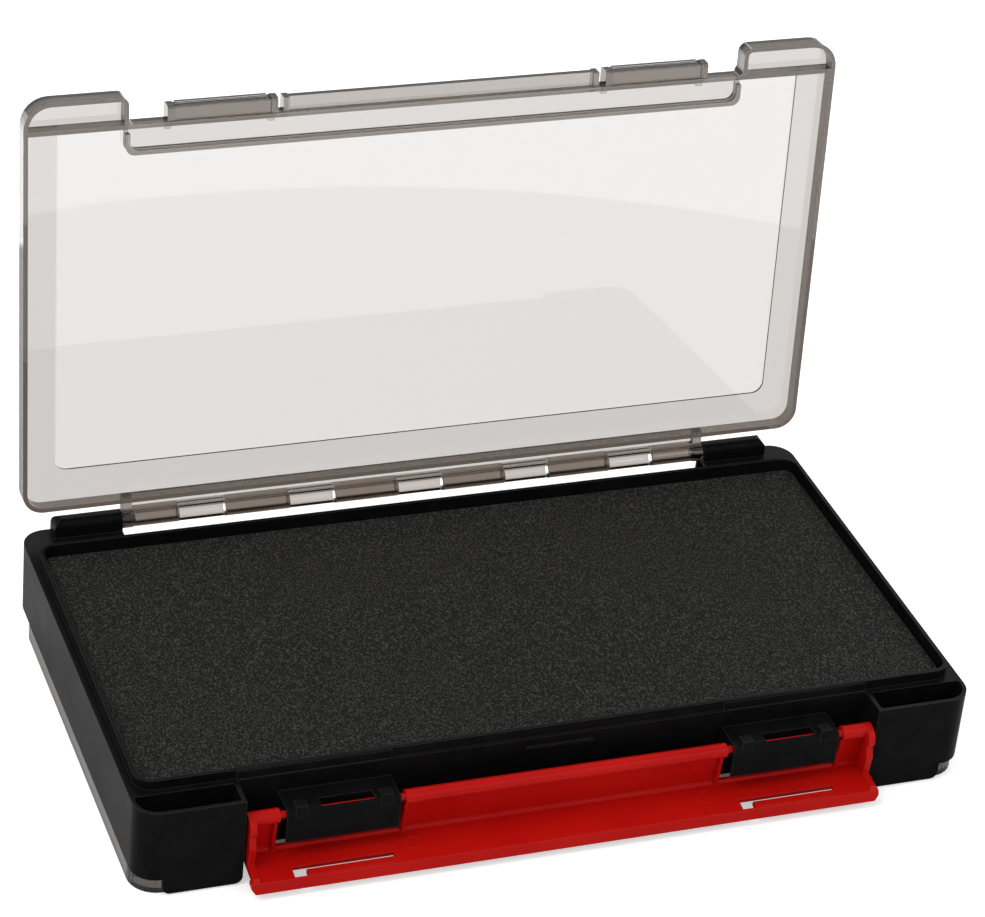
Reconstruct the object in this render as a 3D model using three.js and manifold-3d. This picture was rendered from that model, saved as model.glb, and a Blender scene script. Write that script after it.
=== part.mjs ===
// Double-sided lure box: a black tray open to both sides, a smoked clear lid on each side, a red
// swing latch along the front, a foam liner in each half and two hinge pins for each lid.
// Millimetres, +Z up, the front towards -Y, the origin under the middle of the tray. The pieces are
// laid out from the left front corner of the tray and moved to the middle at the end.
// Rest pose: the top lid stands open, the latch hangs swung down and the bottom lid is shut.

import * as THREE from 'three';
import { mergeVertices } from 'three/addons/utils/BufferGeometryUtils.js';
import Module from 'manifold-3d';

const wasm = await Module();
wasm.setup();

// Overall box
const boxWidth = 275;
const boxDepth = 155;
const boxHeight = 37;
const lidOpenAngle = 94;
const latchOpenAngle = 188;

// Fits between pieces that lie on or move past each other
const restGap = 0.3;
const slideGap = 0.2;

// Tray shell, its end blocks and the raised inner rim
const skirtHeight = 6;
const shellCornerRadius = 8;
const blockLength = 33.5;
const recessDepth = 11;
const recessCornerRadius = 1;
const rimRise = 3.3;
const rimSideInset = 2.6;
const rimFrontInset = 0.9;
const rimRearInset = 2.2;
const rimWall = 1.2;
const rimCornerRadius = 6;
const floorThickness = 1.8;
const blockWall = 1.2;
const pocketCornerRadius = 1;

// Tabs that reach down in front of the bottom lid
const tabInset = 8.5;
const tabThickness = 1.2;
const tabGroundGap = 0.3;
const tabCornerRadius = 2.5;

// Hinge: axis distance from the rear face and from the lid's face, pin and barrel
const hingeInset = 3.2;
const pinRadius = 1.3;
const barrelRadius = 2.9;
const pinLength = 14;
const pinReach = 4.6;
const earInset = 10.5;
const earCornerRadius = 2.4;
const earEndRadius = 3;
const knuckleLongWidth = 22.2;
const knuckleShortWidth = 16.1;
const knuckleShortCount = 5;
const knuckleArc = 200;
const hingeWebThickness = 1.5;
const hingePostWidth = 3.2;
const hingePostRadius = 3.1;

// Lid panel, skirt, front step and thin window
const panelThickness = 1.2;
const lidWall = 1.5;
const lidFrontRadius = 9;
const lidRearRadius = 7;
const lidInnerRadius = 3;
const lidNeckRadius = 2;
const lidFrontInset = 9.5;
const lidRearInset = 10.4;
const bottomLidSetback = 1.5;
const stepEnd = 19.5;
const stepInset = 0.7;
const stepRadius = 3;
const windowSideInset = 12;
const windowRearInset = 13;
const windowDepth = 0.55;
const windowRadius = 4;
const grooveWidth = 0.35;
const grooveDepth = 0.75;
const ribThickness = 1.4;
const ribDepth = 3;

// Catch lugs and the grip bar on the front edge of a lid
const lugInset = 46;
const lugLength = 36;
const lugFront = 5;
const lugRear = 12.6;
const lugHeight = 4.5;
const lugDrop = 0.1;
const lugEdgeRadius = 0.6;
const capLength = 2.2;
const capReach = 1.1;
const capExtra = 0.6;
const capRadius = 1.3;
const ridgeInset = 3;
const ridgeRise = 0.6;
const ridgeWidth = 1.3;
const barInset = 84;
const barThickness = 2.2;
const barDrop = 1.2;
const barCapLength = 2;
const barCapExtra = 0.9;

// Latch: pivot rod, tube, web, flange and the hooks with their windows
const latchPivotY = 2.6;
const latchPivotRise = 3.8;
const latchEndGap = 1;
const tubeRadius = 2.3;
const rodRadius = 1.2;
const latchSheet = 1.5;
const flangeReach = 15.3;
const latchCornerRadius = 1.4;
const lipRise = 2.1;
const lipLean = 1.6;
const lipThickness = 2.2;
const lipRadius = 0.5;
const lipOverhang = 0.8;
const creaseRadius = 0.9;
const beadWidth = 1.5;
const beadDepth = 3.1;
const beadRadius = 0.7;
const notchMargin = 2;
const endPlateThickness = 2;
const endPlateDepth = 8.2;
const endPlateSlope = 7;
const endPlateDrop = 1.1;
const endDiscShift = 1.2;
const endDiscRise = 1.7;
const endDiscRadius = 3.8;
const slotOffset = 1.6;
const slotEndGap = 1.9;
const slotFront = 10.8;
const slotWidth = 1.6;
const slotEndWidth = 4.2;
const slotEndLength = 4.3;
const hookFront = 12.9;
const hookDrop = 0.5;
const hookEndGap = 0.7;

// Clips on the tray that carry the latch rod
const clipInset = 46.5;
const clipLength = 36;
const clipWall = 0.9;
const clipDepth = 3.3;
const clipLipDepth = 9.2;
const clipSlot = 2;
const clipWindowInset = 11;
const clipWindowLength = 17;
const clipPostInset = 2.6;
const clipPostLength = 3.8;
const clipPostHeight = 1.5;
const clipPostDepth = 3.2;
const clipPostDrop = 2.4;
const clipPostReach = 0.2;

// Raised strips on the front of the rim and the thin bar on the recess wall
const stripThickness = 0.5;
const stripTopGap = 0.4;
const stripLength = 49;
const thinBarThickness = 0.6;
const thinBarHeight = 0.9;
const thinBarDrop = 3;
const thinBarLength = 22;

// Foam liners
const foamThickness = 10.6;
const foamSideGap = 0.4;

// Fineness of round forms
const arcStep = 12;
const roundSides = 32;
const cutOver = 1;
const weldDistance = 1e-5;

// Derived levels and faces
const shellBottom = skirtHeight;
const shellTop = boxHeight - skirtHeight;
const rimTop = shellTop + rimRise;
const rimBottom = shellBottom - rimRise;
const floorTop = (boxHeight + floorThickness) / 2;
const floorBottom = (boxHeight - floorThickness) / 2;
const rimFront = recessDepth + rimFrontInset;
const rimRear = boxDepth - recessDepth - rimRearInset;
const blockRight = boxWidth - blockLength;
const hingeY = boxDepth - hingeInset;
const hingeTopZ = boxHeight - hingeInset;
const holeRadius = pinRadius + restGap;
const pinLeft = blockLength + pinReach - pinLength;
const pinRight = boxWidth - pinLeft - pinLength;
const lidRear = boxDepth - lidRearInset;
const panelBottom = boxHeight - panelThickness;
const skirtBottom = shellTop + restGap;
const flangeBottom = boxHeight + slideGap;
const flangeTop = flangeBottom + latchSheet;
const latchPivotZ = boxHeight / 2 + latchPivotRise;
const clipBottom = latchPivotZ - clipDepth;
const clipLipBottom = latchPivotZ - clipLipDepth;
const latchFront = latchPivotY - tubeRadius;
const latchTip = latchFront + flangeReach;
const slotLength = lugLength - slotOffset - slotEndGap;
const latchLeft = blockLength + latchEndGap;
const latchRight = blockRight - latchEndGap;

// Closed solid from a geometry, its points joined where they coincide
function toSolid(geometry) {
  geometry.deleteAttribute('normal');
  geometry.deleteAttribute('uv');
  const joined = mergeVertices(geometry, weldDistance);
  return new wasm.Manifold(new wasm.Mesh({
    numProp: 3,
    vertProperties: new Float32Array(joined.attributes.position.array),
    triVerts: new Uint32Array(joined.index.array),
  }));
}

function toGeometry(solid) {
  const mesh = solid.getMesh();
  const geometry = new THREE.BufferGeometry();
  const points = new Float32Array(mesh.vertProperties);
  geometry.setAttribute('position', new THREE.BufferAttribute(points, 3));
  geometry.setIndex(new THREE.BufferAttribute(new Uint32Array(mesh.triVerts), 1));
  geometry.computeVertexNormals();
  return geometry;
}

// Points of an outline given as [x, y, radius] corners, each corner turned into an arc
function roundedPoints(corners) {
  const points = [];
  corners.forEach(([x, y, radius], index) => {
    const corner = new THREE.Vector2(x, y);
    if (!radius) {
      points.push(corner);
      return;
    }
    const [px, py] = corners[(index + corners.length - 1) % corners.length];
    const [nx, ny] = corners[(index + 1) % corners.length];
    const back = new THREE.Vector2(px - x, py - y).normalize();
    const ahead = new THREE.Vector2(nx - x, ny - y).normalize();
    const half = Math.acos(THREE.MathUtils.clamp(back.dot(ahead), -1, 1)) / 2;
    const middle = back.clone().add(ahead).normalize();
    const centre = corner.clone().addScaledVector(middle, radius / Math.sin(half));
    const start = corner.clone().addScaledVector(back, radius / Math.tan(half)).sub(centre);
    const turn = Math.sign(back.cross(ahead)) * (Math.PI - 2 * half);
    const steps = Math.max(2, Math.round(Math.abs(THREE.MathUtils.radToDeg(turn)) / arcStep));
    for (let step = 0; step <= steps; step += 1) {
      const spoke = start.clone().rotateAround(new THREE.Vector2(), -turn * step / steps);
      points.push(spoke.add(centre));
    }
  });
  return points;
}

// Solid with the outline in the XY plane, between two heights
function plate(corners, bottom, top) {
  const shape = new THREE.Shape(roundedPoints(corners));
  const geometry = new THREE.ExtrudeGeometry(shape, { depth: top - bottom, bevelEnabled: false });
  geometry.translate(0, 0, bottom);
  return toSolid(geometry);
}

// Solid with the outline in the YZ plane, between two positions along X
function bar(corners, left, right) {
  const shape = new THREE.Shape(roundedPoints(corners));
  const geometry = new THREE.ExtrudeGeometry(shape, { depth: right - left, bevelEnabled: false });
  const turned = new THREE.Matrix4().set(0, 0, 1, left, 1, 0, 0, 0, 0, 1, 0, 0, 0, 0, 0, 1);
  geometry.applyMatrix4(turned);
  return toSolid(geometry);
}

// Solid with the outline in the XZ plane, between two positions along Y
function frontal(corners, front, rear) {
  const shape = new THREE.Shape(roundedPoints(corners));
  const geometry = new THREE.ExtrudeGeometry(shape, { depth: rear - front, bevelEnabled: false });
  geometry.rotateX(Math.PI / 2);
  geometry.translate(0, rear, 0);
  return toSolid(geometry);
}

function rectangle(left, right, front, rear, radius = 0) {
  return [[left, front, radius], [right, front, radius], [right, rear, radius], [left, rear, radius]];
}

function block(left, right, front, rear, bottom, top) {
  return plate(rectangle(left, right, front, rear), bottom, top);
}

// Round bar along X
function rod(left, right, y, z, radius) {
  const corners = [];
  for (let side = 0; side < roundSides; side += 1) {
    const angle = 2 * Math.PI * side / roundSides;
    corners.push([y + radius * Math.cos(angle), z + radius * Math.sin(angle), 0]);
  }
  return bar(corners, left, right);
}

function joinAll(solids) {
  return solids.reduce((whole, solid) => whole.add(solid));
}

function cutAll(whole, solids) {
  return solids.reduce((rest, solid) => rest.subtract(solid), whole);
}

// The same position on both halves of the box, given from its left end
function bothSides(inset, length) {
  return [inset, boxWidth - inset - length];
}

// Swaps the upper and the lower face of the box
function turnedOver(solid) {
  const geometry = toGeometry(solid);
  geometry.scale(1, 1, -1);
  geometry.translate(0, 0, boxHeight);
  const index = geometry.index.array;
  for (let at = 0; at < index.length; at += 3) {
    [index[at], index[at + 1]] = [index[at + 1], index[at]];
  }
  return toSolid(geometry);
}

// Swings a solid about an axis along X
function swung(solid, y, z, degrees) {
  const geometry = toGeometry(solid);
  geometry.translate(0, -y, -z);
  geometry.rotateX(THREE.MathUtils.degToRad(degrees));
  geometry.translate(0, y, z);
  return toSolid(geometry);
}

// Outer shell with the long recesses at front and rear, and the inner rim standing past it
function trayShell() {
  const outer = rectangle(0, boxWidth, 0, boxDepth, shellCornerRadius);
  const frontGap = rectangle(blockLength, blockRight, -recessDepth, recessDepth, recessCornerRadius);
  const rearGap = rectangle(blockLength, blockRight, boxDepth - recessDepth, boxDepth + recessDepth,
    recessCornerRadius);
  const rim = rectangle(rimSideInset, boxWidth - rimSideInset, rimFront, rimRear, rimCornerRadius);
  const body = cutAll(plate(outer, shellBottom, shellTop), [
    plate(frontGap, shellBottom - cutOver, shellTop + cutOver),
    plate(rearGap, shellBottom - cutOver, shellTop + cutOver),
  ]);
  return body.add(plate(rim, rimBottom, rimTop));
}

// The two compartments, back to back on one floor
function trayCavities() {
  const side = rimSideInset + rimWall;
  const inner = rectangle(side, boxWidth - side, rimFront + rimWall, rimRear - rimWall,
    rimCornerRadius - rimWall);
  return [
    plate(inner, floorTop, rimTop + cutOver),
    plate(inner, rimBottom - cutOver, floorBottom),
  ];
}

// Hollows of the end blocks: the front ones open up and down, the rear ones towards the recess
function blockHollows() {
  const inner = shellCornerRadius - blockWall;
  const front = [
    [blockWall, blockWall, inner],
    [blockLength - blockWall, blockWall, pocketCornerRadius],
    [blockLength - blockWall, recessDepth - blockWall, pocketCornerRadius],
    [blockWall, recessDepth - blockWall, pocketCornerRadius],
  ];
  const rear = [
    [blockWall, boxDepth - recessDepth + blockWall, pocketCornerRadius],
    [blockLength + cutOver, boxDepth - recessDepth + blockWall, 0],
    [blockLength + cutOver, boxDepth - blockWall, 0],
    [blockWall, boxDepth - blockWall, inner],
  ];
  const mirror = (corners) => corners.map(([x, y, radius]) => [boxWidth - x, y, radius]).reverse();
  return [front, mirror(front)].flatMap((corners) => [
    plate(corners, floorTop, shellTop + cutOver),
    plate(corners, shellBottom - cutOver, floorBottom),
  ]).concat([rear, mirror(rear)].map((corners) => (
    plate(corners, shellBottom + blockWall, shellTop - blockWall))));
}

// Tab that reaches down over the corner of the bottom lid
function trayTab(left) {
  const length = blockLength - tabInset;
  return frontal([
    [left, tabGroundGap, tabCornerRadius],
    [left + length, tabGroundGap, tabCornerRadius],
    [left + length, shellBottom + blockWall, 0],
    [left, shellBottom + blockWall, 0],
  ], 0, tabThickness);
}

// Hinge ear on a rear block, its outer upper corner rounded
function trayEar(left) {
  const front = hingeY - barrelRadius;
  const bottom = shellTop - blockWall;
  const right = left + blockLength - earInset;
  const isLeft = left < boxWidth / 2;
  return bar([
    [front, bottom, 0],
    [boxDepth, bottom, 0],
    [boxDepth, boxHeight, earCornerRadius],
    [front, boxHeight, earCornerRadius],
  ], left, right).intersect(frontal([
    [left, bottom, 0],
    [right, bottom, 0],
    [right, boxHeight, isLeft ? 0 : earEndRadius],
    [left, boxHeight, isLeft ? earEndRadius : 0],
  ], front, boxDepth));
}

// Blind holes for the pins, open towards the hinge recess
function pinHoles() {
  return [
    rod(pinLeft - restGap, blockLength + cutOver, hingeY, hingeTopZ, holeRadius),
    rod(blockRight - cutOver, boxWidth - pinLeft + restGap, hingeY, hingeTopZ, holeRadius),
  ];
}

// Clip that carries the latch rod: a block on the recess wall with a window over the rod, a
// snap slot below it and a lip down the front
function trayClip(left) {
  const right = left + clipLength;
  const reach = rodRadius + restGap + clipWall;
  const front = latchPivotY - reach;
  const top = latchPivotZ + reach;
  const windowLeft = left + clipWindowInset;
  const rear = rimFront + rimWall / 2;
  const body = joinAll([
    bar([
      [front, clipLipBottom, 0],
      [front + clipWall, clipLipBottom, 0],
      [front + clipWall, clipBottom, 0],
      [rear, clipBottom, 0],
      [rear, top, 0],
      [front, top, clipWall],
    ], left, right),
    ...[left + clipPostInset, right - clipPostInset - clipPostLength].map((post) => (
      block(post, post + clipPostLength, front - clipPostReach, front + clipPostDepth,
        top - clipPostDrop, top + clipPostHeight))),
  ]);
  return cutAll(body, [
    rod(left - cutOver, right + cutOver, latchPivotY, latchPivotZ, rodRadius + restGap),
    block(left - cutOver, right + cutOver, latchPivotY - clipSlot / 2, latchPivotY + clipSlot / 2,
      clipBottom - cutOver, latchPivotZ),
    block(windowLeft, windowLeft + clipWindowLength, front + clipWall,
      latchPivotY + reach, clipBottom - cutOver, top + cutOver),
  ]);
}

// Low strips on the front of the rim towards its ends, and a thin bar on the recess wall
function trayStrips() {
  const middle = (boxWidth - thinBarLength) / 2;
  const top = shellTop - thinBarDrop;
  return [
    ...bothSides(blockLength, stripLength).map((left) => block(left, left + stripLength,
      rimFront - stripThickness, rimFront + rimWall / 2, shellTop - restGap, rimTop - stripTopGap)),
    block(middle, middle + thinBarLength, recessDepth - thinBarThickness, rimFront + rimWall / 2,
      top - thinBarHeight, top),
  ];
}

function trayBody() {
  const earLength = blockLength - earInset;
  const ears = joinAll(bothSides(earInset, earLength).map(trayEar));
  const strips = joinAll(trayStrips());
  const body = joinAll([
    cutAll(trayShell(), [...trayCavities(), ...blockHollows()]),
    ears,
    turnedOver(ears),
    ...bothSides(tabInset, blockLength - tabInset).map(trayTab),
    ...bothSides(clipInset, clipLength).map(trayClip),
    strips,
    turnedOver(strips),
  ]);
  const holes = joinAll(pinHoles());
  return cutAll(body, [holes, turnedOver(holes)]);
}

// Plan of the shut lid, drawn in by an inset: full corners over the blocks, set back between them
function lidPlan(setback, inset) {
  const neckLeft = blockLength - inset;
  const neckRight = blockRight + inset;
  const front = setback + inset;
  const neck = lidFrontInset + inset;
  return [
    [inset, front, lidFrontRadius - inset],
    [neckLeft, front, lidInnerRadius - inset],
    [neckLeft, neck, lidNeckRadius],
    [neckRight, neck, lidNeckRadius],
    [neckRight, front, lidInnerRadius - inset],
    [boxWidth - inset, front, lidFrontRadius - inset],
    [boxWidth - inset, lidRear - inset, lidRearRadius - inset],
    [inset, lidRear - inset, lidRearRadius - inset],
  ];
}

// Plan of the lowered step along the front edge, grown by a margin
function stepPlan(margin, front = lidFrontInset) {
  const left = blockLength + stepInset - margin;
  const right = boxWidth - left;
  return [
    [left, front, 0],
    [right, front, 0],
    [right, stepEnd + margin, stepRadius],
    [left, stepEnd + margin, stepRadius],
  ];
}

// Plan of the thin window, grown by a margin: open to the front, its rear corners rounded
function windowPlan(margin) {
  const left = windowSideInset - margin;
  const front = lidFrontInset + lidWall;
  const rear = lidRear - windowRearInset + margin;
  return [
    [left, front, 0],
    [boxWidth - left, front, 0],
    [boxWidth - left, rear, windowRadius],
    [left, rear, windowRadius],
  ];
}

// Rib that hangs from the panel round the lowered step, kept clear of the tray's rim
function stepRib(stepBottom) {
  const bottom = panelBottom - ribDepth;
  const rimClear = rimFront + rimWall + restGap;
  const inner = stepPlan(panelThickness - ribThickness);
  return cutAll(plate(stepPlan(panelThickness), bottom, panelBottom + windowDepth), [
    plate(inner, bottom - cutOver, panelBottom + cutOver),
    block(0, boxWidth, 0, rimClear, bottom - cutOver, stepBottom),
  ]);
}

// Walls that close the front corners of the lid into pockets
function cornerWalls() {
  return [[lidWall / 2, blockLength], [blockRight, boxWidth - lidWall / 2]].map(([left, right]) => (
    block(left, right, lidFrontInset, lidFrontInset + lidWall, skirtBottom,
      panelBottom + windowDepth)));
}

// Panel with its skirt, the lowered step and the thin window in its groove
function lidShell(setback) {
  const stepTop = boxHeight - barDrop;
  const stepBottom = stepTop - panelThickness;
  const groove = plate(windowPlan(grooveWidth), panelBottom - cutOver, panelBottom + grooveDepth)
    .subtract(plate(windowPlan(0), panelBottom - 2 * cutOver, boxHeight));
  return cutAll(plate(lidPlan(setback, 0), skirtBottom, boxHeight), [
    plate(lidPlan(setback, lidWall), skirtBottom - cutOver, panelBottom),
    plate(windowPlan(0), panelBottom - cutOver, panelBottom + windowDepth),
    groove,
  ]).add(joinAll([
    plate(stepPlan(panelThickness), stepBottom, stepTop),
    stepRib(stepBottom),
    ...cornerWalls(),
  ])).subtract(plate(stepPlan(0, lidFrontInset - lidNeckRadius), stepTop, boxHeight + cutOver));
}

// Catch lug over the front edge, with a low ridge along it and a thicker cap at each end
function lidLug(left) {
  const right = left + lugLength;
  const top = boxHeight - lugDrop;
  const rear = lidFrontInset + lidWall / 2;
  const stepMiddle = boxHeight - barDrop - panelThickness / 2;
  const section = (extra, radius) => [
    [lugFront - extra, top - lugHeight - extra, radius],
    [rear, top - lugHeight - extra, 0],
    [rear, top, 0],
    [lugFront - extra, top, radius],
  ];
  const cap = (at) => bar(section(capExtra, capRadius), at, at + capLength)
    .add(block(at, at + capLength, lidFrontInset, lugRear + capReach, stepMiddle, top));
  return joinAll([
    bar(section(0, lugEdgeRadius), left, right),
    block(left, right, lidFrontInset, lugRear, stepMiddle, top),
    block(left + ridgeInset, right - ridgeInset, lugFront - ridgeRise, lugFront + ridgeRise,
      top - ridgeWidth - ridgeRise, top - ridgeRise),
    cap(left),
    cap(right - capLength),
  ]);
}

// Grip bar between the lugs, with a thicker cap at each end
function lidBar() {
  const right = boxWidth - barInset;
  const top = boxHeight - barDrop;
  const rear = lidFrontInset + lidWall / 2;
  const bottom = top - barThickness;
  const cap = (left) => block(left, left + barCapLength, lugFront, rear, bottom - barCapExtra,
    top + barCapExtra);
  return joinAll([
    block(barInset, right, lugFront, rear, bottom, top),
    cap(barInset),
    cap(right - barCapLength),
  ]);
}

// Half barrel round the pin, seen along X, its middle at the given angle
function halfBarrel(left, right, middleAngle) {
  const outer = [];
  const inner = [];
  const steps = Math.round(knuckleArc / arcStep);
  for (let step = 0; step <= steps; step += 1) {
    const degrees = middleAngle - knuckleArc / 2 + knuckleArc * step / steps;
    const angle = THREE.MathUtils.degToRad(degrees);
    const spoke = [Math.cos(angle), Math.sin(angle)];
    outer.push([hingeY + barrelRadius * spoke[0], hingeTopZ + barrelRadius * spoke[1], 0]);
    inner.unshift([hingeY + holeRadius * spoke[0], hingeTopZ + holeRadius * spoke[1], 0]);
  }
  return bar([...outer, ...inner], left, right);
}

// Hinge strip: a plate from the rear edge, half barrels in turn below and above the pin, and a
// closed post at each end
function lidHinge() {
  const left = blockLength + restGap + slideGap;
  const right = boxWidth - left;
  const shortTotal = knuckleShortCount * knuckleShortWidth;
  const longTotal = (knuckleShortCount - 1) * knuckleLongWidth;
  const endWidth = (right - left - hingePostWidth - shortTotal - longTotal) / 2;
  const webFront = hingeY - barrelRadius - hingeWebThickness / 2;
  const solids = [
    block(left, right, lidRear - lidWall / 2, webFront + hingeWebThickness, panelBottom, boxHeight),
    block(left, right, webFront, webFront + hingeWebThickness, hingeTopZ, boxHeight - lugDrop),
  ];
  let at = left + hingePostWidth / 2;
  for (let knuckle = 0; knuckle <= 2 * knuckleShortCount; knuckle += 1) {
    const isLong = knuckle % 2 === 0;
    const isEnd = knuckle === 0 || knuckle === 2 * knuckleShortCount;
    const longWidth = isEnd ? endWidth : knuckleLongWidth;
    const width = isLong ? longWidth : knuckleShortWidth;
    solids.push(halfBarrel(at, at + width, isLong ? -90 : 90));
    at += width;
  }
  const posts = [left, right - hingePostWidth].map((post) => (
    rod(post, post + hingePostWidth, hingeY, hingeTopZ, hingePostRadius)
      .add(block(post, post + hingePostWidth, lidRear - lidWall / 2, hingeY, hingeTopZ, boxHeight))
      .subtract(rod(post - cutOver, post + hingePostWidth + cutOver, hingeY, hingeTopZ, holeRadius))
  ));
  return joinAll([...solids, ...posts]);
}

// Whole lid as it lies shut on top of the tray
function lidShut(setback) {
  return joinAll([
    lidShell(setback),
    ...bothSides(lugInset, lugLength).map(lidLug),
    lidBar(),
    lidHinge(),
  ]);
}

// Grip lip along the free edge of the latch, leaning outwards, its ends cut off at a slant
function latchLip() {
  const top = flangeTop + lipRise;
  const left = latchLeft - lipOverhang;
  const right = latchRight + lipOverhang;
  const cut = 2 * lipOverhang;
  return bar([
    [latchTip - lipThickness, flangeBottom, 0],
    [latchTip, flangeBottom, lipRadius],
    [latchTip + lipLean, top, lipRadius],
    [latchTip + lipLean - lipThickness / 2, top, lipRadius],
    [latchTip - lipThickness, flangeTop, 0],
  ], left, right).intersect(frontal([
    [left, flangeBottom, 0],
    [right, flangeBottom, 0],
    [right, flangeTop, 0],
    [right - cut, top, 0],
    [left + cut, top, 0],
    [left, flangeTop, 0],
  ], 0, boxDepth));
}

// Latch as it lies shut: tube round the pivot, web up the front, flange over the lid
function latchProfile() {
  return joinAll([
    rod(latchLeft, latchRight, latchPivotY, latchPivotZ, tubeRadius),
    bar([
      [latchFront, latchPivotZ, 0],
      [latchFront + latchSheet, latchPivotZ, 0],
      [latchFront + latchSheet, flangeBottom, 0],
      [latchTip, flangeBottom, 0],
      [latchTip, flangeTop, 0],
      [latchFront, flangeTop, latchCornerRadius],
    ], latchLeft, latchRight),
    latchLip(),
  ]);
}

// Wall that closes an end of the latch: a disc at the pivot and an angled plate up to the lip
function latchEnd(left) {
  const right = left + endPlateThickness;
  return bar([
    [latchFront, latchPivotZ, 0],
    [latchPivotY + tubeRadius, latchPivotZ, 0],
    [latchFront + endPlateDepth, latchPivotZ + endPlateSlope, 0],
    [latchFront + endPlateDepth, flangeBottom - endPlateDrop, 0],
    [latchTip - endPlateDrop, flangeBottom - endPlateDrop, 0],
    [latchTip, flangeBottom, 0],
    [latchTip, flangeTop, 0],
    [latchFront, flangeTop, latchCornerRadius],
  ], left, right).add(rod(left, right, latchPivotY + endDiscShift, latchPivotZ + endDiscRise,
    endDiscRadius));
}

// Slot of a window and its wider left end, through the flange
function latchSlot(left) {
  return block(left, left + slotLength, slotFront, slotFront + slotWidth, flangeBottom - cutOver,
    flangeTop + cutOver).add(block(left, left + slotEndLength, slotFront,
    slotFront + slotEndWidth, flangeBottom - cutOver, flangeTop + cutOver));
}

// Raised bead along the side of a notch
function notchBead(left) {
  return plate(rectangle(left, left + beadWidth, latchFront, latchFront + beadDepth, beadRadius),
    latchPivotZ, flangeBottom + latchSheet / 2);
}

function latchShut() {
  const notchLength = clipLength + 2 * notchMargin;
  const notches = bothSides(clipInset - notchMargin, notchLength);
  const slots = bothSides(lugInset, lugLength).map((left) => left + slotOffset);
  const body = joinAll([
    latchProfile(),
    latchEnd(latchLeft),
    latchEnd(latchRight - endPlateThickness),
  ]);
  const opened = cutAll(body, notches.map((left) => block(left, left + notchLength, -recessDepth,
    recessDepth, latchPivotZ - recessDepth, flangeBottom)));
  return joinAll([
    cutAll(opened, slots.map(latchSlot)),
    rod(latchLeft, latchRight, latchFront + latchSheet, flangeBottom, creaseRadius),
    ...notches.flatMap((left) => [left - beadWidth, left + notchLength]).map(notchBead),
    ...notches.map((left) => rod(left - notchMargin, left + notchLength + notchMargin,
      latchPivotY, latchPivotZ, rodRadius)),
    ...slots.map((left) => block(left + slotEndLength, left + slotLength - hookEndGap, hookFront,
      latchTip - restGap, flangeBottom - hookDrop, flangeBottom + latchSheet / 2)),
  ]);
}

function hingePin(left) {
  return rod(left, left + pinLength, hingeY, hingeTopZ, pinRadius);
}

// Foam liner that lies on the tray floor
function foamLiner() {
  const side = rimSideInset + rimWall + foamSideGap;
  const bottom = floorTop + restGap;
  return plate(rectangle(side, boxWidth - side, rimFront + rimWall + foamSideGap,
    rimRear - rimWall - foamSideGap, rimCornerRadius - rimWall - foamSideGap), bottom,
    bottom + foamThickness);
}

const blackPlastic = { color: 0x1b1b1d, roughness: 0.42, metalness: 0 };
const smokedPlastic = { color: 0x8f8680, roughness: 0.12, metalness: 0 };
const redPlastic = { color: 0xd01418, roughness: 0.28, metalness: 0 };
const darkFoam = { color: 0x2e2e2f, roughness: 0.95, metalness: 0 };
const pinSteel = { color: 0xc9c9c6, roughness: 0.25, metalness: 1 };

const group = new THREE.Group();
group.name = 'double_sided_lure_box';

function addPiece(name, solid, look) {
  const geometry = toGeometry(solid);
  geometry.translate(-boxWidth / 2, -boxDepth / 2, 0);
  const mesh = new THREE.Mesh(geometry, new THREE.MeshStandardMaterial(look));
  mesh.name = name;
  group.add(mesh);
}

addPiece('tray_body', trayBody(), blackPlastic);
addPiece('top_lid', swung(lidShut(0), hingeY, hingeTopZ, -lidOpenAngle), smokedPlastic);
addPiece('bottom_lid', turnedOver(lidShut(bottomLidSetback)), smokedPlastic);
addPiece('top_left_hinge_pin', hingePin(pinLeft), pinSteel);
addPiece('top_right_hinge_pin', hingePin(pinRight), pinSteel);
addPiece('bottom_left_hinge_pin', turnedOver(hingePin(pinLeft)), pinSteel);
addPiece('bottom_right_hinge_pin', turnedOver(hingePin(pinRight)), pinSteel);
addPiece('front_latch', swung(latchShut(), latchPivotY, latchPivotZ, latchOpenAngle), redPlastic);
addPiece('top_foam', foamLiner(), darkFoam);
addPiece('bottom_foam', turnedOver(foamLiner()), darkFoam);

export default group;
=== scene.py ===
import math
import bmesh
import bpy
from mathutils import Matrix, Vector, noise


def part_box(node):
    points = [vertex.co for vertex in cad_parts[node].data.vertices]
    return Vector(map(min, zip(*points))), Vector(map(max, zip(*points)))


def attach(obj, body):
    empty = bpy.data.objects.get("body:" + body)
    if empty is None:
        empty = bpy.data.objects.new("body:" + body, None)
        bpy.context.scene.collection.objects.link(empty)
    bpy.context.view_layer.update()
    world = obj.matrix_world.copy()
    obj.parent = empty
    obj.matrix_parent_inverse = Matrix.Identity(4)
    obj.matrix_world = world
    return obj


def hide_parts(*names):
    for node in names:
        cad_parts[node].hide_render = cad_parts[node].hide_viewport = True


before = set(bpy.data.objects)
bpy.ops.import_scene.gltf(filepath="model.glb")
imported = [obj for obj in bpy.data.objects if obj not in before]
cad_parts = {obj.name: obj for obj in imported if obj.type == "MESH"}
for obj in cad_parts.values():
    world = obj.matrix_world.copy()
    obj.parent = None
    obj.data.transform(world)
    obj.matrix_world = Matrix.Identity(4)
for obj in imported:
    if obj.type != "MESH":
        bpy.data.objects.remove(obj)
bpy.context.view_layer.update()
tray, latch = "tray", "latch"                     # bodies that carry the pieces made here
print("frame loaded:", len(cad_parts), "nodes")


def addObject(name, data):
    made = bpy.data.objects.new(name, data)
    bpy.context.scene.collection.objects.link(made)
    return made


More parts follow.
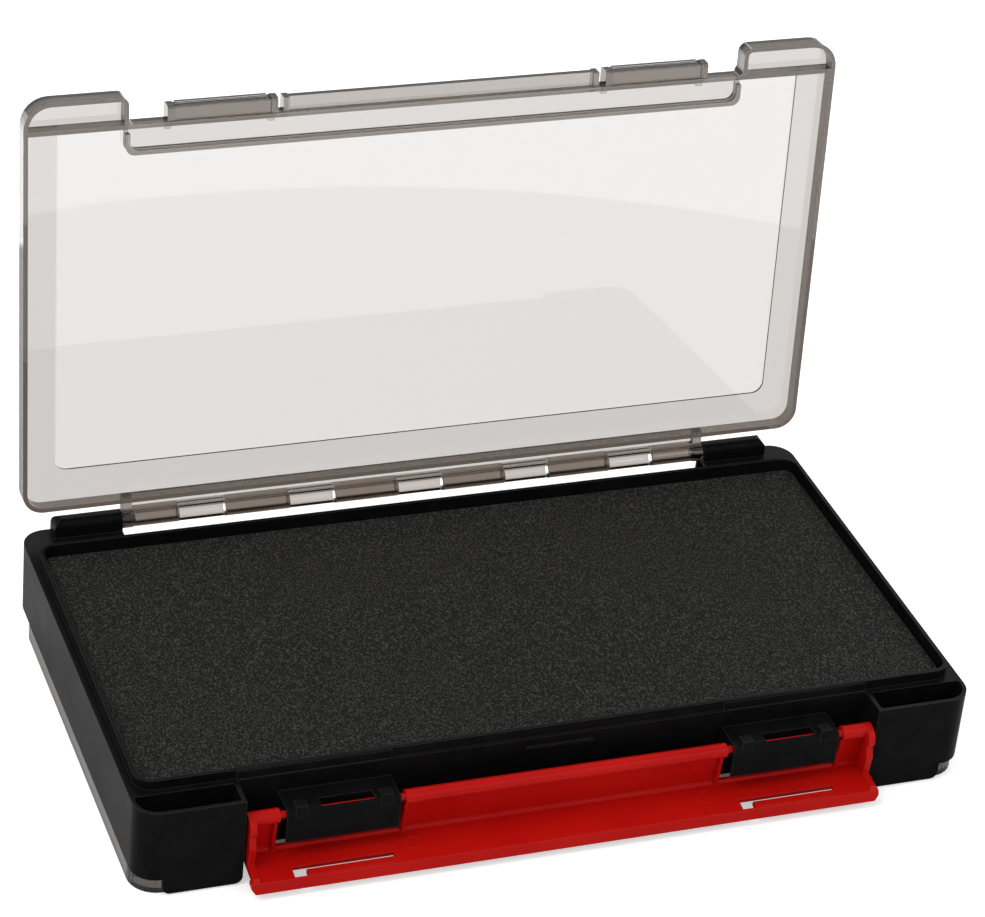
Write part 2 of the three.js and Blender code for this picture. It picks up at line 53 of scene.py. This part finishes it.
cameraSettings = dict(
    azimuth=-22.4, elevation=32.1, roll=5.8,      # degrees, as in the photograph
    distance=1.275, target=(0.0386, 0.1051, 0.020),
    focalPixels=3626, imageWidth=985, sensor=36.0,
    nearClip=0.05, farClip=30.0,
)


def placeCamera(s):
    az, el, roll = (math.radians(s[k]) for k in ("azimuth", "elevation", "roll"))
    forward = Vector((-math.sin(az) * math.cos(el), math.cos(az) * math.cos(el), -math.sin(el)))
    right = forward.cross(Vector((0, 0, 1))).normalized()
    up = right.cross(forward)
    rolledRight = right * math.cos(roll) + up * math.sin(roll)
    rolledUp = up * math.cos(roll) - right * math.sin(roll)
    data = bpy.data.cameras.new("photoCamera")
    data.sensor_width = s["sensor"]
    data.sensor_fit = "HORIZONTAL"
    data.lens = s["focalPixels"] / s["imageWidth"] * s["sensor"]
    data.clip_start, data.clip_end = s["nearClip"], s["farClip"]
    camera = addObject("photoCamera", data)
    turn = Matrix((rolledRight, rolledUp, -forward)).transposed().to_4x4()
    camera.matrix_world = Matrix.Translation(Vector(s["target"]) - forward * s["distance"]) @ turn
    bpy.context.scene.camera = camera


class NodeTree:                                   # wires up the nodes of one world or material
    def __init__(self, owner):
        owner.use_nodes = True
        self.nodes, self.links = owner.node_tree.nodes, owner.node_tree.links

    def add(self, kind, values=None, **traits):   # a value may be the output of another node
        node = self.nodes.new("ShaderNode" + kind)
        for trait, value in traits.items():
            setattr(node, trait, value)
        for key, value in (values or {}).items():
            if isinstance(value, bpy.types.NodeSocket):
                self.links.new(value, node.inputs[key])
            else:
                node.inputs[key].default_value = value
        return node

    def calc(self, operation, first, second=0.0):
        return self.add("Math", {0: first, 1: second}, operation=operation).outputs[0]

    def spread(self, value, low, high, toLow=0.0, toHigh=1.0):
        return self.add("MapRange", {"Value": value, "From Min": low, "From Max": high,
                                     "To Min": toLow, "To Max": toHigh}).outputs["Result"]

    def mixShaders(self, share, first, second):
        return self.add("MixShader", {0: share, 1: first, 2: second}).outputs[0]

    def rayStrength(self, seen, clear, gloss):    # strengths for camera, clear plastic and gloss
        path = self.add("LightPath").outputs
        through = path["Is Transmission Ray"]
        mirrored = self.calc("MULTIPLY", path["Is Glossy Ray"], self.calc("SUBTRACT", 1.0, through))
        direct = self.calc("ADD", self.calc("MULTIPLY", path["Is Camera Ray"], seen),
                           self.calc("MULTIPLY", through, clear))
        return self.calc("ADD", direct, self.calc("MULTIPLY", mirrored, gloss)), through


studioSettings = dict(
    white=(1, 1, 1, 1), worldLight=0.62, worldWhite=1.0, glossyWhite=0.55,
    floorSize=9.0, floorDrop=0.0003, floorColor=0.86, floorLift=0.50, floorThrough=1.06,
    padRadius=0.345, padBlur=0.002, padPlace=(0.02, 0.05), padMirror=1.6,   # only mirrors show it
    lamps=(                                       # name, place, aims at, width, height, watts
        ("keyLamp", (-0.9, -0.2, 1.5), (0.0, 0.0, 0.03), 1.1, 0.9, 13.0),
        ("rearLamp", (0.5, 1.3, 1.1), (0.0, 0.0, 0.05), 1.2, 0.6, 6.0),
        ("frontLamp", (0.7, -1.3, 1.0), (0.0, 0.0, 0.03), 0.8, 0.5, 3.0),
    ),
)


def makeWorld(s):
    world = bpy.data.worlds.new("studio")
    tree = NodeTree(world)
    tree.nodes.clear()
    light, backdrop = (tree.add("Background", {"Color": s["white"], "Strength": s[key]}).outputs[0]
                       for key in ("worldLight", "worldWhite"))
    strength = tree.rayStrength(1.0, 1.0, s["glossyWhite"])[0]
    tree.add("OutputWorld", {"Surface": tree.mixShaders(strength, light, backdrop)})
    bpy.context.scene.world = world


def makeFloor(s):
    half = s["floorSize"] / 2
    mesh = bpy.data.meshes.new("floor")
    mesh.from_pydata([(-half, -half, 0), (half, -half, 0), (half, half, 0), (-half, half, 0)], [],
                     [(0, 1, 2, 3)])
    floor = addObject("floor", mesh)
    floor.location.z = -s["floorDrop"]
    paleFloor = bpy.data.materials.new("paleFloor")
    tree = NodeTree(paleFloor)
    tree.nodes.clear()
    place = tree.add("TexCoord").outputs["Object"]
    reach = tree.add("VectorMath", {0: place, 1: (*s["padPlace"], 0)}, operation="DISTANCE")
    pad = tree.spread(reach.outputs["Value"], s["padRadius"] - s["padBlur"],
                      s["padRadius"] + s["padBlur"], 0.0, s["padMirror"])
    strength, through = tree.rayStrength(s["floorLift"], s["floorThrough"], pad)
    lift = tree.add("Emission", {"Color": s["white"], "Strength": strength}).outputs[0]
    diffuse = tree.add("BsdfDiffuse", {"Color": (s["floorColor"],) * 3 + (1,)}).outputs[0]
    lit = tree.add("AddShader", {0: diffuse, 1: lift}).outputs[0]
    even = tree.mixShaders(through, lit, lift)    # clear plastic shows an evenly lit floor
    below = tree.add("NewGeometry").outputs["Backfacing"]
    nothing = tree.add("BsdfTransparent").outputs[0]
    surface = tree.mixShaders(below, even, nothing)   # from below the floor is open
    tree.add("OutputMaterial", {"Surface": surface})
    mesh.materials.append(paleFloor)


def makeLamps(s):
    for name, place, aim, width, height, watts in s["lamps"]:
        data = bpy.data.lights.new(name, "AREA")
        data.shape = "RECTANGLE"
        data.size, data.size_y, data.energy = width, height, watts
        lamp = addObject(name, data)
        lamp.location = place
        lamp.rotation_euler = (Vector(aim) - Vector(place)).to_track_quat("-Z", "Y").to_euler()
        lamp.visible_camera = lamp.visible_transmission = False


placeCamera(cameraSettings)
bpy.context.scene.view_settings.view_transform = "Standard"
makeWorld(studioSettings)
makeFloor(studioSettings)
makeLamps(studioSettings)
print("camera, floor and lamps placed")


class Plastic(NodeTree):                          # one material round its main shader
    def __init__(self, name, stretch=None):
        self.mat = bpy.data.materials.new(name)
        super().__init__(self.mat)
        self.shader = self.nodes["Principled BSDF"]
        self.out = self.nodes["Material Output"]
        self.coords = self.add("TexCoord").outputs
        self.place = self.coords["Object"]
        if stretch:
            mapped = self.add("Mapping", {"Vector": self.place, "Scale": stretch})
            self.place = mapped.outputs["Vector"]

    def set(self, key, value):
        self.links.new(value, self.shader.inputs[key])

    def fix(self, **values):                      # values that are the same all over
        for key, value in values.items():
            self.shader.inputs[key.replace("_", " ")].default_value = value

    def grain(self, scale, detail):
        return self.add("TexNoise", {"Scale": scale, "Detail": detail,
                                     "Vector": self.place}).outputs["Fac"]

    def cells(self, scale):
        return self.add("TexVoronoi", {"Scale": scale, "Vector": self.place}).outputs["Distance"]

    def patches(self, scale, detail, *span):
        return self.spread(self.grain(scale, detail), *span)

    def blendColors(self, share, *colors):        # a colour is three numbers or a node's output
        first, second = ((*c, 1) if isinstance(c, tuple) else c for c in colors)
        return self.add("Mix", {"Factor": share, "A": first, "B": second},
                        data_type="RGBA").outputs["Result"]

    def bump(self, height, depth, strength, under=None):
        values = {"Height": height, "Distance": depth, "Strength": strength}
        if under is not None:
            values["Normal"] = under
        return self.add("Bump", values).outputs["Normal"]

    def bumps(self, scale, detail, depth, strength, under=None):
        return self.bump(self.grain(scale, detail), depth, strength, under)

    def softEdges(self, radius, samples=4):
        return self.add("Bevel", {"Radius": radius}, samples=samples).outputs["Normal"]

    def turnedAway(self, normal, direction, low, high):   # 0 where both agree, 1 where they part
        dot = self.add("VectorMath", {0: normal, 1: direction}, operation="DOT_PRODUCT")
        return self.spread(self.calc("ABSOLUTE", dot.outputs["Value"]), high, low)

    def edgeWear(self, radius, low, high):        # 0 on the flats, 1 on the edges, where a highlight is painted
        flat = self.add("NewGeometry").outputs["Normal"]
        return self.turnedAway(self.softEdges(radius, 6), flat, low, high)

    def nearHinge(self, hinge, near, far):        # 1 close to the hinge line, 0 away from it
        across = self.add("VectorMath", {0: self.place, 1: (0, 1, 1)}, operation="MULTIPLY")
        reach = self.add("VectorMath", {0: across.outputs[0], 1: (0, *hinge)},
                         operation="DISTANCE")
        return self.spread(reach.outputs["Value"], near, far, 1.0, 0.0)

    def longBarrels(self, pitch, low, high):      # 1 on the long half barrels, 0 on the short ones
        side = self.calc("ABSOLUTE", self.add("SeparateXYZ", {0: self.place}).outputs["X"])
        return self.spread(self.calc("PINGPONG", side, pitch / 2), low, high)


# Patches are a noise scale, its detail, the span that is used and the values that it gives.
# Bumps are a noise scale, its detail, the depth and the strength. The painted highlight on the
# edges has its radius first.

trayFinish = dict(
    dark=(0.0036, 0.0037, 0.0040), light=(0.0058, 0.0059, 0.0063), mottle=(140.0, 3.0, 0.35, 0.65),
    # the paler colour on the edges is a painted highlight
    edge=(0.034, 0.034, 0.036), paintedHighlightSpan=(0.00035, 0.86, 0.98), edgeRadius=0.00025,
    rough=(60.0, 4.0, 0.3, 0.7, 0.32, 0.38), specular=0.030,
    grain=(2600.0, 2.0, 0.00003, 0.5), waves=(45.0, 1.0, 0.0004, 0.10),
)


def blackPlastic(s):
    m = Plastic("satinBlackPlastic")
    mottled = m.blendColors(m.patches(*s["mottle"]), s["dark"], s["light"])
    # paler edges: a painted highlight
    m.set("Base Color", m.blendColors(m.edgeWear(*s["paintedHighlightSpan"]), mottled, s["edge"]))
    m.set("Roughness", m.patches(*s["rough"]))
    waves = m.bumps(*s["waves"], m.softEdges(s["edgeRadius"]))
    m.set("Normal", m.bumps(*s["grain"], waves))
    m.fix(Specular_IOR_Level=s["specular"])
    return m.mat


latchFinish = dict(
    deep=(0.41, 0.0036, 0.0024), bright=(0.47, 0.0062, 0.004), flow=(38.0, 2.0, 0.3, 0.7),
    # the lighter red on the edges is a painted highlight
    edge=(0.60, 0.020, 0.014), paintedHighlightSpan=(0.00045, 0.84, 0.98), edgeRadius=0.0003,
    rough=(90.0, 4.0, 0.3, 0.7, 0.27, 0.31), specular=0.085, grain=(1500.0, 2.0, 0.00002, 0.25),
    glow=0.06, glowDepth=0.0008, glowRadius=(1.0, 0.15, 0.1),
)


def redPlastic(s):
    m = Plastic("glossyRedPlastic")
    flow = m.blendColors(m.patches(*s["flow"]), s["deep"], s["bright"])
    # lighter red edges: a painted highlight
    m.set("Base Color", m.blendColors(m.edgeWear(*s["paintedHighlightSpan"]), flow, s["edge"]))
    m.set("Roughness", m.patches(*s["rough"]))
    m.set("Normal", m.bumps(*s["grain"], m.softEdges(s["edgeRadius"])))
    m.fix(Specular_IOR_Level=s["specular"], Subsurface_Weight=s["glow"],
          Subsurface_Scale=s["glowDepth"], Subsurface_Radius=s["glowRadius"])
    return m.mat


lidFinish = dict(
    tint=(0.40, 0.345, 0.295), density=570.0, shadowTint=(0.74, 0.72, 0.70), ior=1.50,
    # the wall colour is a painted shade on the walls turned away from the panel
    face=(0.985, 0.98, 0.98), wall=(0.29, 0.262, 0.235), wallSpan=(0.35, 0.75),
    # the darker strip colour is a painted shade on the hinge strip, heaviest on the long half
    # barrels
    stripPaintedShade=(0.30, 0.255, 0.215), stripPale=(0.88, 0.84, 0.82), stripReach=(0.0036, 0.0040),
    barrels=(0.0383, 0.00795, 0.00815),           # pitch, and where a short one ends
    rough=(70.0, 5.0, 0.4, 0.7, 0.010, 0.035), ripple=(22.0, 1.0, 0.0005, 0.05),
    lower=((0, 0, 1), (0.0743, 0.0032)),          # the panel's normal and its hinge (y, z)
    upper=((0, 0.99756, -0.06976), (0.0743, 0.0338)),   # stands 94 degrees open
)


def smokedPlastic(name, panelNormal, hinge, s):   # painted shade darkens its walls and hinge strip
    m = Plastic(name)
    # walls turned away from the panel get a painted shade
    across = m.turnedAway(m.coords["Normal"], panelNormal, *s["wallSpan"])
    panel = m.blendColors(across, s["face"], s["wall"])
    # the hinge strip gets a painted shade, heavier on the long half barrels
    strip = m.blendColors(m.longBarrels(*s["barrels"]), s["stripPale"], s["stripPaintedShade"])
    m.set("Base Color", m.blendColors(m.nearHinge(hinge, *s["stripReach"]), panel, strip))
    m.set("Roughness", m.patches(*s["rough"]))
    m.set("Normal", m.bumps(*s["ripple"]))
    m.fix(Transmission_Weight=1.0, IOR=s["ior"])
    absorb = m.add("VolumeAbsorption", {"Color": (*s["tint"], 1), "Density": s["density"]})
    m.links.new(absorb.outputs[0], m.out.inputs["Volume"])
    path = m.add("LightPath").outputs
    soft = m.calc("MAXIMUM", path["Is Shadow Ray"], path["Is Diffuse Ray"])
    thin = m.add("BsdfTransparent", {"Color": (*s["shadowTint"], 1)}).outputs[0]
    m.links.new(m.mixShaders(soft, m.shader.outputs[0], thin), m.out.inputs["Surface"])
    return m.mat


foamFinish = dict(
    dark=(0.0018, 0.0018, 0.0017), middle=(0.0070, 0.0070, 0.0068), light=(0.072, 0.071, 0.068),
    cellScale=1700.0, cellSpan=(0.10, 0.62), flecks=(2000.0, 1.0, 0.50, 0.66, 0.0, 0.6),
    stretch=(1.0, 0.60, 1.0), pits=(0.00016, 0.7), lumps=(700.0, 3.0, 0.00008, 0.3),
    rough=(260.0, 3.0, 0.3, 0.7, 0.86, 1.0), specular=0.10, sheen=0.03, sheenRough=0.6,
)


def speckledFoam(s):
    m = Plastic("speckledDarkFoam", s["stretch"])
    cells = m.cells(s["cellScale"])
    base = m.blendColors(m.spread(cells, *s["cellSpan"]), s["dark"], s["middle"])
    m.set("Base Color", m.blendColors(m.patches(*s["flecks"]), base, s["light"]))
    m.set("Roughness", m.patches(*s["rough"]))
    m.set("Normal", m.bump(cells, *s["pits"], m.bumps(*s["lumps"])))
    m.fix(Specular_IOR_Level=s["specular"], Sheen_Weight=s["sheen"],
          Sheen_Roughness=s["sheenRough"])
    return m.mat


pinFinish = dict(
    dark=(0.58, 0.57, 0.55), light=(0.68, 0.67, 0.65), stretch=(0.03, 1.0, 1.0),
    lines=(5200.0, 2.0), lineSpan=(0.35, 0.65), rough=(0.3, 0.7, 0.22, 0.40),
    scratch=(0.00002, 0.4),
)


def drawnSteel(s):
    m = Plastic("brightDrawnWire", s["stretch"])
    lines = m.grain(*s["lines"])
    m.set("Base Color", m.blendColors(m.spread(lines, *s["lineSpan"]), s["dark"], s["light"]))
    m.set("Roughness", m.spread(lines, *s["rough"]))
    m.set("Normal", m.bump(lines, *s["scratch"]))
    m.fix(Metallic=1.0)
    return m.mat


finishes = dict(
    black_plastic=blackPlastic(trayFinish), red_plastic=redPlastic(latchFinish),
    smoked_plastic=smokedPlastic("smokedLowerLid", *lidFinish["lower"], lidFinish),
    smoked_open_lid=smokedPlastic("smokedUpperLid", *lidFinish["upper"], lidFinish),
    dark_foam=speckledFoam(foamFinish), pin_steel=drawnSteel(pinFinish),
)
print("materials made:", ", ".join(sorted(finishes)))

dressSettings = dict(
    nodes=(                                       # node, finish, width of its rounded edges
        ("tray_body", "black_plastic", 0.00030), ("front_latch", "red_plastic", 0.00030),
        ("top_lid", "smoked_open_lid", 0.00020), ("bottom_lid", "smoked_plastic", 0.00020),
        ("top_left_hinge_pin", "pin_steel", 0.00025),
        ("top_right_hinge_pin", "pin_steel", 0.00025),
        ("bottom_left_hinge_pin", "pin_steel", 0.00025),
        ("bottom_right_hinge_pin", "pin_steel", 0.00025),
    ),
    segments=2, flatAngle=0.4, edgeAngle=38, sharpAngle=28,   # angles in degrees
)


def dressNode(name, finish, edgeWidth, s):
    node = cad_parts[name]
    for slot in node.material_slots:
        slot.material = finishes[finish]
    flat = node.modifiers.new("flatFaces", "DECIMATE")
    flat.decimate_type = "DISSOLVE"
    flat.angle_limit = math.radians(s["flatAngle"])
    soft = node.modifiers.new("mouldedEdges", "BEVEL")
    soft.width, soft.segments = edgeWidth, s["segments"]
    soft.limit_method = "ANGLE"
    soft.angle_limit = math.radians(s["edgeAngle"])
    soft.harden_normals = True
    for face in node.data.polygons:
        face.use_smooth = True
    node.data.set_sharp_from_angle(angle=math.radians(s["sharpAngle"]))


for nodeName, finish, edgeWidth in dressSettings["nodes"]:
    dressNode(nodeName, finish, edgeWidth, dressSettings)
print("moulded parts dressed")


def pieceFrom(mesh, name, slotName):              # turns a finished bmesh into a smooth object
    data = bpy.data.meshes.new(name)
    mesh.to_mesh(data)
    mesh.free()
    for polygon in data.polygons:
        polygon.use_smooth = True
    data.materials.append(finishes[slotName])
    return addObject(name, data)


markSettings = dict(
    openAngle=188.0, pivot=(-0.0749, 0.0223),     # degrees and (y, z), as the latch hangs
    ring=0.0024, wire=0.00026, sink=0.00012, steps=40, sides=10, startAngle=60,
    marks=(                                       # name, place, facing (y, z) when shut, degrees
        ("left_flange_mark", (-0.0503, -0.0695, 0.0372), (0, -1), 360),
        ("right_flange_mark", (0.0469, -0.0700, 0.0372), (0, -1), 215),
        ("web_mark", (0.0446, -0.0757, 0.0273), (1, 0), 360),
    ),
)


def hungDown(y, z, s):                            # shut place or direction, turned to hanging
    turn = math.radians(s["openAngle"])
    return y * math.cos(turn) - z * math.sin(turn), y * math.sin(turn) + z * math.cos(turn)


def ejectorMark(name, place, facing, arc, s):
    pivotY, pivotZ = s["pivot"]
    y, z = hungDown(place[1] - pivotY, place[2] - pivotZ, s)
    centre = Vector((place[0], pivotY + y, pivotZ + z))
    normal = Vector((0, *hungDown(*facing, s)))
    across = Vector((1, 0, 0))
    along = normal.cross(across)
    closed = arc == 360
    mesh = bmesh.new()
    loops = []
    for step in range(s["steps"] if closed else s["steps"] + 1):
        angle = math.radians(arc) * step / s["steps"] + math.radians(s["startAngle"])
        spoke = across * math.cos(angle) + along * math.sin(angle)
        loop = []
        for side in range(s["sides"]):
            turn = 2 * math.pi * side / s["sides"]
            point = centre + spoke * (s["ring"] + s["wire"] * math.cos(turn))
            point += normal * (s["wire"] * math.sin(turn) - s["sink"])
            loop.append(mesh.verts.new(point))
        loops.append(loop)
    pairs = list(zip(loops, loops[1:])) + ([(loops[-1], loops[0])] if closed else [])
    for first, second in pairs:
        for side in range(s["sides"]):
            after = (side + 1) % s["sides"]
            mesh.faces.new((first[side], first[after], second[after], second[side]))
    if not closed:
        mesh.faces.new(loops[0])
        mesh.faces.new(reversed(loops[-1]))
    bmesh.ops.recalc_face_normals(mesh, faces=mesh.faces)
    piece = pieceFrom(mesh, name, "red_plastic")
    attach(piece, latch)


for mark in markSettings["marks"]:
    ejectorMark(*mark, markSettings)
print("ejector marks made")

foamSettings = dict(
    cell=0.0022, cornerRadius=0.0035, edgeWidth=0.0007, edgeSegments=3, faceBand=0.2,
    poreScale=900, pores=0.00009, waveScale=28, waves=0.00016, waveShift=(3.1, 1.7, 0.4),
    highest=0.0002, bottom=0.00012, sharpAngle=50,
)


def foamSheet(pieceName, nodeName, upward, s):
    low, high = (Vector(c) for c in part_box(nodeName))
    mid, half = (low + high) / 2, (high - low) / 2
    face, back, side = (high.z, low.z, 1) if upward else (low.z, high.z, -1)
    mesh = bmesh.new()
    across, along = int(half.x * 2 / s["cell"]), int(half.y * 2 / s["cell"])
    bmesh.ops.create_grid(mesh, x_segments=across, y_segments=along, size=1.0)
    for v in mesh.verts:
        x, y = v.co.x * half.x, v.co.y * half.y
        cornerX, cornerY = half.x - s["cornerRadius"], half.y - s["cornerRadius"]
        dx, dy = abs(x) - cornerX, abs(y) - cornerY
        if dx > 0 and dy > 0:                     # the square corner is drawn in to a round one
            reach = max(dx, dy) / math.hypot(dx, dy)
            x = math.copysign(cornerX + dx * reach, x)
            y = math.copysign(cornerY + dy * reach, y)
        v.co = Vector((mid.x + x, mid.y + y, face))
    rim = [e for e in mesh.edges if e.is_boundary]
    drawn = bmesh.ops.extrude_edge_only(mesh, edges=rim)
    for v in drawn["geom"]:
        if isinstance(v, bmesh.types.BMVert):
            v.co.z = back
    bmesh.ops.contextual_create(mesh, geom=[e for e in mesh.edges if e.is_boundary])
    bmesh.ops.recalc_face_normals(mesh, faces=mesh.faces)
    bmesh.ops.bevel(mesh, geom=rim, offset=s["edgeWidth"], segments=s["edgeSegments"],
                    affect="EDGES", profile=0.5)
    for v in mesh.verts:
        if abs(v.co.z - face) < s["edgeWidth"] * s["faceBand"]:
            pores = noise.noise(v.co * s["poreScale"]) * s["pores"]
            waves = noise.noise(v.co * s["waveScale"] + Vector(s["waveShift"])) * s["waves"]
            v.co.z += side * (min(pores + waves, s["highest"]) - s["bottom"])
    piece = pieceFrom(mesh, pieceName, "dark_foam")
    piece.data.set_sharp_from_angle(angle=math.radians(s["sharpAngle"]))
    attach(piece, tray)
    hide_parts(nodeName)


foamSheet("top_foam_sheet", "top_foam", True, foamSettings)
foamSheet("bottom_foam_sheet", "bottom_foam", False, foamSettings)
print("foam liners made")
